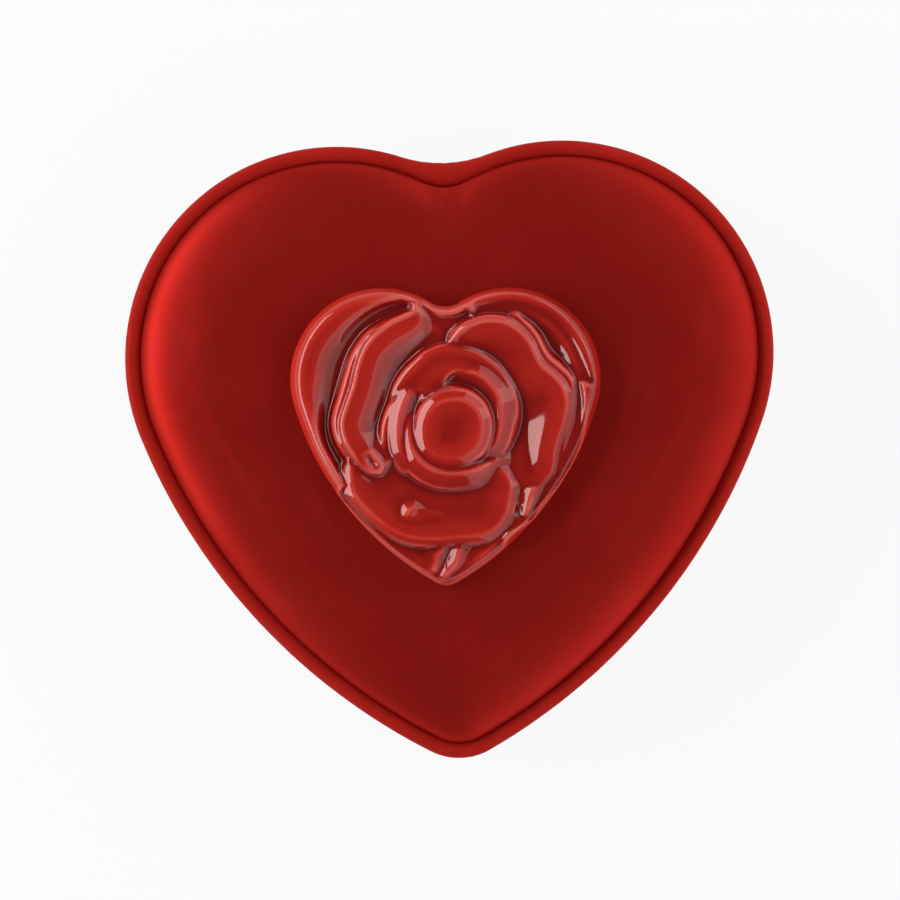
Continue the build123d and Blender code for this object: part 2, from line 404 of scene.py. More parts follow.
@dataclass(frozen=True)
class HeartLine:
    """A heart of tangent arcs: tip, flanks, lobes and cleft."""

    width: float
    length: float
    lobe: float
    flank: float
    tip: float
    cleft: float

    def drawn_in(self, inset: float) -> HeartLine:
        """Gives the parallel heart inside this one.

        Args:
            inset: How far inside.

        Returns:
            The smaller heart.
        """
        return HeartLine(
            self.width - 2 * inset,
            self.length - 2 * inset,
            self.lobe - inset,
            self.flank - inset,
            self.tip - inset,
            self.cleft + inset,
        )

    def trace(self, spacing: float, turn: float = 4.0) -> tuple[np.ndarray, np.ndarray]:
        """Points along the heart, anticlockwise from the tip, with their outward normals.

        Args:
            spacing: The longest step between points.
            turn: The largest turn between points, in degrees.

        Returns:
            Points and normals, one row each.
        """
        lobe_at = np.array([self.width / 2 - self.lobe, self.length / 2 - self.lobe])
        tip_at = np.array([0.0, self.tip - self.length / 2])
        rise = math.sqrt((self.lobe + self.cleft) ** 2 - lobe_at[0] ** 2)
        cleft_at = np.array([0.0, lobe_at[1] + rise])
        span = tip_at - lobe_at
        reach = float(np.hypot(*span))
        from_lobe, from_tip = self.flank - self.lobe, self.flank - self.tip
        along = (from_lobe**2 - from_tip**2 + reach**2) / (2 * reach)
        unit = span / reach
        flank_at = lobe_at + unit * along + np.array([unit[1], -unit[0]]) * math.sqrt(from_lobe**2 - along**2)
        toe = math.atan2(*(tip_at - flank_at)[::-1])
        shoulder = math.atan2(*(lobe_at - flank_at)[::-1])
        crest = math.atan2(*(cleft_at - lobe_at)[::-1])
        arcs = [
            (tip_at, self.tip, -math.pi / 2, toe, 1),
            (flank_at, self.flank, toe, shoulder, 1),
            (lobe_at, self.lobe, shoulder, crest, 1),
            (cleft_at, self.cleft, crest + math.pi, 1.5 * math.pi, -1),
        ]
        points, normals = [], []
        for centre, radius, first, last, side in arcs:
            swing = abs(last - first)
            count = max(2, math.ceil(swing * radius / spacing), math.ceil(math.degrees(swing) / turn))
            for angle in np.linspace(first, last, count, endpoint=False):
                out = np.array([math.cos(angle), math.sin(angle)])
                points.append(centre + radius * out)
                normals.append(side * out)
        points.append(cleft_at - [0.0, self.cleft])
        normals.append(np.array([0.0, 1.0]))
        right, out = np.array(points), np.array(normals)
        mirror = np.array([-1.0, 1.0])
        return np.vstack([right, right[-2:0:-1] * mirror]), np.vstack([out, out[-2:0:-1] * mirror])


def wobble(count: int, waves: Waves, seed: int) -> np.ndarray:
    """A smooth uneven line round a loop, from -1 to 1.

    Args:
        count: How many samples.
        waves: Turns per loop and strength of each wave.
        seed: Sets the phases.

    Returns:
        One value per sample.
    """
    phases = np.random.default_rng(seed).uniform(0, 2 * math.pi, len(waves))
    turns = np.arange(count) / count * 2 * math.pi
    total = sum(strength * np.sin(number * turns + phase) for (number, strength), phase in zip(waves, phases))
    return total / sum(strength for _, strength in waves)


def cleft_station(line: np.ndarray) -> int:
    """Number of the point of a heart's line that lies in its cleft."""
    return int(np.argmin(np.abs(line[:, 0]) + (line[:, 1] < 0) * FAR))


def make_piece(name: str, rows: np.ndarray, faces: list[tuple[int, ...]]) -> bpy.types.Object:
    """Makes a smooth mesh object from points in millimetres.

    Args:
        name: The piece's name.
        rows: One point per row.
        faces: Corner numbers of each face.

    Returns:
        The object, in the scene.
    """
    mesh = bpy.data.meshes.new(name)
    mesh.from_pydata((rows * MM).tolist(), [], faces)
    mesh.validate()
    shape = bmesh.new()
    shape.from_mesh(mesh)
    bmesh.ops.recalc_face_normals(shape, faces=shape.faces)
    shape.to_mesh(mesh)
    shape.free()
    mesh.polygons.foreach_set("use_smooth", [True] * len(mesh.polygons))
    piece = bpy.data.objects.new(name, mesh)
    bpy.context.scene.collection.objects.link(piece)
    return piece


def loop_faces(around: int, across: int, closed: bool) -> list[tuple[int, ...]]:
    """Faces of a ring of sections, each with the same number of points.

    Args:
        around: Sections round the ring.
        across: Points in a section.
        closed: Whether each section is a closed loop.

    Returns:
        Corner numbers of each face.
    """
    steps = across if closed else across - 1
    faces = []
    for i in range(around):
        near, far = i * across, (i + 1) % around * across
        for j in range(steps):
            k = (j + 1) % across
            faces.append((near + j, far + j, far + k, near + k))
    return faces


def swept_rows(points: np.ndarray, normals: np.ndarray, sections: np.ndarray) -> np.ndarray:
    """Points of a section carried round a line.

    Args:
        points: The line, one row per station.
        normals: Its outward normals.
        sections: Inset and height of each point of the section at each station.

    Returns:
        One point per row, station by station.
    """
    flat = points[:, None, :] - sections[:, :, :1] * normals[:, None, :]
    return np.concatenate([flat, sections[:, :, 1:]], axis=2).reshape(-1, 3)


def rounded_section(corners: list[tuple[float, float]], radii: list[float], steps: int = 4) -> np.ndarray:
    """A closed section with rounded corners.

    Args:
        corners: Inset and height of each corner, in order.
        radii: The rounding of each corner.
        steps: Points in each rounding.

    Returns:
        Inset and height of each point.
    """
    rows = []
    total = len(corners)
    for i, radius in enumerate(radii):
        here = np.array(corners[i])
        before, after = np.array(corners[i - 1]) - here, np.array(corners[(i + 1) % total]) - here
        before, after = before / np.hypot(*before), after / np.hypot(*after)
        if radius <= 0:
            rows.append(here)
            continue
        for t in np.linspace(0, 1, steps + 1):
            start, end = here + before * radius, here + after * radius
            rows.append((1 - t) ** 2 * start + 2 * t * (1 - t) * here + t**2 * end)
    return np.array(rows)


def settle(piece: bpy.types.Object, finish: Finish, body: Body, slot: str, *nodes: str) -> None:
    """Gives a piece its finish, its body and the nodes that it stands for.

    Args:
        piece: The piece.
        finish: Its material.
        body: What it moves with.
        slot: The record's material slot. Not used.
        nodes: Nodes of the frame that it replaces.
    """
    piece.data.materials.clear()
    piece.data.materials.append(finish.material())
    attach(piece, body.value)
    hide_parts(*nodes)


def level(node: str, top: bool) -> float:
    """Height of a node's lowest or highest point, in millimetres."""
    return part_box(node)[1 if top else 0].z / MM


@dataclass
class BoxOutline:
    """The outline that every layer of the box follows, and how far inside it each lies."""

    heart: HeartLine = HeartLine(210.0, 199.0, 68.5, 198.0, 20.0, 43.0)
    side: float = 1.8
    wrap: float = 0.5
    base_wall: float = 2.0
    lid_fit: float = 0.4
    turn_in: float = 9.0
    inside_turn_in: float = 12.0
    piping: float = 4.6
    pad_gap: float = 0.5
    pad_cleft: float = 14.0

    @property
    def wall_out(self) -> float:
        """Inset of the boards' outer faces."""
        return self.side + self.wrap

    @property
    def base_wall_in(self) -> float:
        """Inset of the base wall's inner face."""
        return self.wall_out + self.base_wall

    @property
    def lid_wall_in(self) -> float:
        """Inset of the lid wall's inner face."""
        return self.base_wall_in - self.lid_fit

    @property
    def pad(self) -> HeartLine:
        """The padded top's outline, with its sharper cleft."""
        inner = self.heart.drawn_in(self.piping + self.pad_gap)
        return HeartLine(inner.width, inner.length, inner.lobe, inner.flank, inner.tip, self.pad_cleft)


@dataclass
class SatinWrap:
    """Satin glued round a board wall and turned in at its edges."""

    outline: BoxOutline
    spacing: float = 1.6
    longest_run: float = 4.0
    edge_round: float = 0.9
    inner_round: float = 0.4
    sway: float = 0.16
    sway_waves: Waves = ((5, 1.0), (13, 0.7), (29, 0.5), (61, 0.3))

    def skin(
        self, name: str, corners: list[tuple[float, float]], radii: list[float], seed: int
    ) -> bpy.types.Object:
        """Makes the skin from its section.

        Args:
            name: The piece's name.
            corners: Inset and height of the section's corners.
            radii: The rounding of each corner.
            seed: Sets how the glued cloth sways.

        Returns:
            The piece.
        """
        points, normals = self.outline.heart.trace(self.spacing)
        section = self.divided(rounded_section(corners, radii))
        sections = np.repeat(section[None], len(points), axis=0)
        low, high = section[:, 1].min(), section[:, 1].max()
        lift = np.sin(np.clip((section[:, 1] - low) / (high - low), 0, 1) * math.pi)
        outer = np.clip((self.outline.wall_out - section[:, 0]) / self.outline.wrap, 0, 1)
        sway = wobble(len(points), self.sway_waves, seed) * self.sway
        sections[:, :, 0] -= sway[:, None] * (lift * outer)[None]
        faces = loop_faces(len(points), len(section), True)
        return make_piece(name, swept_rows(points, normals, sections), faces)

    def divided(self, section: np.ndarray) -> np.ndarray:
        """Adds points on the long runs of a section.

        Args:
            section: Inset and height of each point.

        Returns:
            The section with the added points.
        """
        rows = []
        for here, there in zip(section, np.roll(section, -1, axis=0)):
            count = max(1, math.ceil(np.hypot(*(there - here)) / self.longest_run))
            rows.extend(here + (there - here) * k / count for k in range(count))
        return np.array(rows)

    def base(self) -> bpy.types.Object:
        """Makes the base's wrap, turned in over the wall's top edge and under the floor.

        Returns:
            The piece.
        """
        box = self.outline
        low, high = level("base_wrap", False), level("base_wrap", True)
        inner = box.base_wall_in + box.wrap
        corners = [
            (box.side + box.turn_in, low),
            (box.side, low),
            (box.side, high),
            (inner, high),
            (inner, high - box.inside_turn_in),
            (box.base_wall_in, high - box.inside_turn_in),
            (box.base_wall_in, high - box.wrap),
            (box.wall_out, high - box.wrap),
            (box.wall_out, low + box.wrap),
            (box.side + box.turn_in, low + box.wrap),
        ]
        radii = [0, self.edge_round, self.edge_round, self.inner_round, 0, 0, 0, 0, 0, 0]
        piece = self.skin("base_satin_wrap", corners, radii, seed=11)
        settle(piece, WRAP_SATIN, Body.BASE, "red_satin", "base_wrap")
        return piece

    def lid(self) -> bpy.types.Object:
        """Makes the lid's wrap, turned in at its lower edge and over the top board.

        Returns:
            The piece.
        """
        box = self.outline
        low, high = level("lid_wrap", False), level("lid_wrap", True)
        inner = box.lid_wall_in + box.wrap
        corners = [
            (box.side, low),
            (box.side, high),
            (box.side + box.turn_in, high),
            (box.side + box.turn_in, high - box.wrap),
            (box.wall_out, high - box.wrap),
            (box.wall_out, low + box.wrap),
            (box.lid_wall_in, low + box.wrap),
            (box.lid_wall_in, low + box.inside_turn_in),
            (inner, low + box.inside_turn_in),
            (inner, low),
        ]
        radii = [self.edge_round, self.edge_round, 0, 0, 0, 0, 0, 0, 0, self.inner_round]
        piece = self.skin("lid_satin_wrap", corners, radii, seed=12)
        settle(piece, WRAP_SATIN, Body.LID, "red_satin", "lid_wrap")
        return piece


@dataclass
class Piping:
    """Satin-covered cord round the lid's edge, pressed against the pad, with its flange under it."""

    outline: BoxOutline
    spacing: float = 1.2
    sides: int = 22
    flange: float = 0.45
    flange_gap: float = 0.02
    pad_clearance: float = 0.06
    # Stations on each side over which the width is evened out
    evened: int = 3
    uneven: float = 0.035
    uneven_waves: Waves = ((17, 1.0), (43, 0.8), (89, 0.6), (151, 0.5))
    gather: float = 0.12
    gather_waves: Waves = ((173, 1.0), (97, 0.6))
    gather_reach: float = 16.0
    groove_depth: float = 1.2
    end_deg: float = 262.0
    # The seam draws the satin inwards, so the crest lies outside the middle
    lean: float = 1.4

    def reach(self, points: np.ndarray, normals: np.ndarray) -> np.ndarray:
        """Distance from the lid's edge to the pad at each station.

        Args:
            points: The lid's edge.
            normals: Its outward normals.

        Returns:
            One distance per station.
        """
        pad, _ = self.outline.pad.trace(self.spacing / 2, 1.5)
        across = pad[None] - points[:, None]
        inward = -(across * normals[:, None]).sum(2)
        aside = np.abs(across[:, :, 0] * normals[:, None, 1] - across[:, :, 1] * normals[:, None, 0])
        aside[inward < 0] = FAR
        # Of two places straight ahead, the nearer one counts
        nearest = np.argmin(aside + 0.02 * inward, axis=1)
        return inward[np.arange(len(points)), nearest]

    def build(self) -> bpy.types.Object:
        """Makes the cord and its flange as one piece.

        Returns:
            The piece.
        """
        box = self.outline
        points, normals = box.heart.trace(self.spacing, 3.0)
        count = len(points)
        low, high = level("piping_cover", False), level("piping_cover", True)
        tall = (high - low) / 2
        wide = self.reach(points, normals)
        shifts = range(-self.evened, self.evened + 1)
        wide = sum(np.roll(wide, k) for k in shifts) / len(shifts) - self.pad_clearance
        away = np.hypot(*(points - points[cleft_station(points)]).T)
        gathered = np.exp(-((away / self.gather_reach) ** 2))
        girth = 1 + self.uneven * (wobble(count, self.uneven_waves, seed=21) - 1)
        girth += self.gather * gathered * (wobble(count, self.gather_waves, seed=22) - 1) / 2
        # The section runs over the cord from the groove beside the pad to the underside of the flange
        first = math.pi / 2 - math.acos((tall - self.groove_depth) / tall)
        turn = np.linspace(first, math.radians(self.end_deg), self.sides)
        sections = np.zeros((count, self.sides + 3, 2))
        across = np.cos(turn) / math.cos(first)
        across = np.where(across < 0, np.cos(turn), across)
        share = np.clip(0.5 + 0.5 * across[None] * girth[:, None], 0, 1) ** self.lean
        sections[:, : self.sides, 0] = wide[:, None] * share
        sections[:, : self.sides, 1] = low + tall + tall * np.sin(turn)[None] * girth[:, None]
        sections[:, 0, 0] = wide
        sections[:, self.sides] = [box.side + box.turn_in, low]
        sections[:, self.sides + 1] = [box.side + box.turn_in, low + self.flange]
        sections[:, self.sides + 2, 0] = wide - self.flange_gap
        sections[:, self.sides + 2, 1] = low + self.flange
        faces = loop_faces(count, self.sides + 3, True)
        piece = make_piece("lid_piping", swept_rows(points, normals, sections), faces)
        settle(piece, PIPING_SATIN, Body.LID, "red_satin", "piping_cover", "piping_core")
        return piece


@dataclass
class PaddedTop:
    """Foam pad under drawn satin: upright at the piping, round at the shoulder, flat in the middle."""

    outline: BoxOutline
    spacing: float = 2.4
    shoulder: float = 24.0
    side: float = 3.0
    shoulder_steps: int = 16
    middle_steps: int = 18
    under_steps: int = 5
    side_steps: int = 2
    # Inset and rise of the rounded lower edge, from the turned-in satin to the upright side
    lower_edge: Profile = ((9.0, 0.0), (4.0, 0.0), (0.8, 0.0), (0.15, 0.3), (0.0, 1.0))
    end_radius: float = 6.0
    shrink: float = 0.006
    pressure: float = 3.0
    frames: int = 16
    move_limit: float = 0.3
    pucker: float = 0.05
    pucker_at: float = 3.0
    pucker_reach: float = 10.0
    pucker_waves: Waves = ((61, 1.0), (97, 0.9), (139, 0.8), (173, 0.7))
    patch_waves: Waves = ((3, 1.0), (5, 0.8), (7, 0.6))
    least_pucker: float = 0.35
    fold: float = 0.35
    fold_reach: float = 14.0
    fold_rad: float = 0.22

    def grid(self) -> tuple[np.ndarray, int, int]:
        """Lays rings of points from the middle of the underside, over the shoulder, to the middle of the top.

        Returns:
            The points, the stations and the rings.
        """
        points, normals = self.outline.pad.trace(self.spacing, 4.0)
        count = len(points)
        low, high = level("satin_cover", False), level("satin_cover", True)
        edge = level("foam_pad", False) + self.side
        half = self.outline.pad.width / 2
        bearing = np.arctan2(points[:, 0], -points[:, 1])
        round_end = self.end_radius * np.column_stack([np.sin(bearing), -np.cos(bearing)])
        rows = []
        turned_in = points - self.lower_edge[0][0] * normals
        for step in range(self.under_steps):
            share = step / self.under_steps
            rows.append(np.column_stack([round_end + (turned_in - round_end) * share, np.full(count, low)]))
        sides = [(inset, low + rise) for inset, rise in self.lower_edge]
        sides += [(0.0, z) for z in np.linspace(sides[-1][1], edge, self.side_steps + 2)[1:-1]]
        for inset, z in sides:
            rows.append(np.column_stack([points - inset * normals, np.full(count, z)]))
        for angle in np.linspace(0, math.pi / 2, self.shoulder_steps + 1):
            shrink = 1 - self.shoulder * (1 - math.cos(angle)) / half
            z = edge + (high - edge) * math.sin(angle)
            rows.append(np.column_stack([points * shrink, np.full(count, z)]))
        last = points * (1 - self.shoulder / half)
        for step in range(1, self.middle_steps + 1):
            share = step / self.middle_steps
            rows.append(np.column_stack([last + (round_end - last) * share, np.full(count, high)]))
        return np.stack(rows, axis=1).reshape(-1, 3), count, len(rows)

    def build(self) -> bpy.types.Object:
        """Makes the cushion, lets the cloth settle on it and adds its puckers.

        Returns:
            The piece.
        """
        rows, count, rings = self.grid()
        faces = loop_faces(count, rings, False)
        # Each end is closed by strips from the right half of its ring to the left
        for ring in (0, rings - 1):
            for i in range(count // 2):
                stations = (i, i + 1, count - i - 1, count - i)
                faces.append(tuple(dict.fromkeys(k % count * rings + ring for k in stations)))
        piece = make_piece("padded_satin_top", rows, faces)
        settled = self.settled_cloth(piece, rows)
        settled = settled + self.puckers(settled, count, rings)
        piece.data.vertices.foreach_set("co", (settled * MM).ravel())
        piece.data.update()
        smooth = piece.modifiers.new("smooth_cloth", "SUBSURF")
        smooth.levels = smooth.render_levels = 1
        settle(piece, TOP_SATIN, Body.LID, "red_satin", "satin_cover", "foam_pad")
        return piece

    def settled_cloth(self, piece: bpy.types.Object, rows: np.ndarray) -> np.ndarray:
        """Lets the satin swell over its foam, held at its edge and under the ornament.

        Args:
            piece: The cushion.
            rows: Its points before that.

        Returns:
            Its points after that.
        """
        edge = level("foam_pad", False) + self.side
        low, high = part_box("glue_pad")
        across = (rows[:, 0] > low.x / MM) & (rows[:, 0] < high.x / MM)
        along = (rows[:, 1] > low.y / MM) & (rows[:, 1] < high.y / MM)
        at_edge = rows[:, 2] < edge + 0.01
        held = np.flatnonzero(at_edge | (across & along))
        group = piece.vertex_groups.new(name="held")
        group.add(held.tolist(), 1.0, "REPLACE")
        cloth = piece.modifiers.new("settle", "CLOTH")
        cloth.settings.quality = 6
        cloth.settings.mass = 0.2
        cloth.settings.tension_stiffness = cloth.settings.compression_stiffness = 25
        cloth.settings.shear_stiffness = 10
        cloth.settings.bending_stiffness = 0.5
        cloth.settings.use_pressure = True
        cloth.settings.uniform_pressure_force = self.pressure
        cloth.settings.shrink_min = self.shrink
        cloth.settings.vertex_group_mass = group.name
        cloth.settings.effector_weights.gravity = 0
        cloth.collision_settings.use_collision = False
        scene = bpy.context.scene
        for number in range(1, self.frames + 1):
            scene.frame_set(number)
        shape = piece.evaluated_get(bpy.context.evaluated_depsgraph_get()).data
        after = np.zeros(len(rows) * 3)
        shape.vertices.foreach_get("co", after)
        piece.modifiers.clear()
        piece.vertex_groups.clear()
        scene.frame_set(1)
        move = after.reshape(-1, 3) / MM - rows
        far = np.linalg.norm(move, axis=1, keepdims=True)
        log.info("padded_satin_top: cloth moved up to %.2f mm", far.max())
        return rows + move * np.minimum(1, self.move_limit / np.maximum(far, 1e-9))

    def puckers(self, rows: np.ndarray, count: int, rings: int) -> np.ndarray:
        """Small gathers where the satin is drawn into the groove, and the crease under the cleft.

        Args:
            rows: The cushion's points.
            count: Stations round it.
            rings: Points at each station.

        Returns:
            How far each point moves.
        """
        place = rows.reshape(count, rings, 3)
        edge_ring = place[:, self.under_steps + len(self.lower_edge) + self.side_steps - 1, :2]
        inward = np.hypot(*(place[:, :, :2] - edge_ring[:, None]).transpose(2, 0, 1))
        # The underside stays flat
        over = (place[:, :, 2] > level("foam_pad", False) + 0.5).astype(float)
        fade = np.exp(-((inward - self.pucker_at) ** 2) / (2 * (self.pucker_reach / 2) ** 2)) * over
        fine = wobble(count, self.pucker_waves, seed=31)
        patches = np.clip(wobble(count, self.patch_waves, seed=32), 0, 1)
        where = self.least_pucker + (1 - self.least_pucker) * patches
        lift = self.pucker * fine[:, None] * where[:, None] * fade
        away = place[:, :, :2] - edge_ring[cleft_station(edge_ring)]
        span = np.hypot(away[:, :, 0], away[:, :, 1])
        bearing = np.arctan2(away[:, :, 0], -away[:, :, 1])
        crease = np.exp(-((bearing / self.fold_rad) ** 2)) * np.exp(-span / self.fold_reach) * over
        lift -= self.fold * crease
        return np.column_stack([np.zeros((count * rings, 2)), lift.ravel()])


@dataclass(frozen=True)
class Petal:
    """A petal of the relief: its lip, the dish inside it and the flank outside it.

    A lip point has x, y and height and, where they aren't 1, the shares of the bead and of the dish there.
    The dish has a depth and a width and begins past a flat. The lip rolls over into the flank, which has a
    slope and a length.
    """

    name: str
    lip: tuple[tuple[float, ...], ...]
    dish: tuple[float, float]
    flank: tuple[float, float]
    bead: float
    roll: float = 0.9
    flat: float = 0.8

    def curve(self, between: int = 10) -> np.ndarray:
        """Draws the closed lip through its points.

        Args:
            between: Steps from one point to the next.

        Returns:
            Place, height and the shares of bead and dish, one row per step.
        """
        knots = np.array([(*row, 1.0, 1.0)[:5] for row in self.lip])
        before, after, beyond = (np.roll(knots, k, 0)[:, None] for k in (1, -1, -2))
        here = knots[:, None]
        t = (np.arange(between) / between)[None, :, None]
        path = 2 * here + (after - before) * t
        path = path + (2 * before - 5 * here + 4 * after - beyond) * t**2
        path = path + (3 * here - before - 3 * after + beyond) * t**3
        return path.reshape(-1, 5) / 2


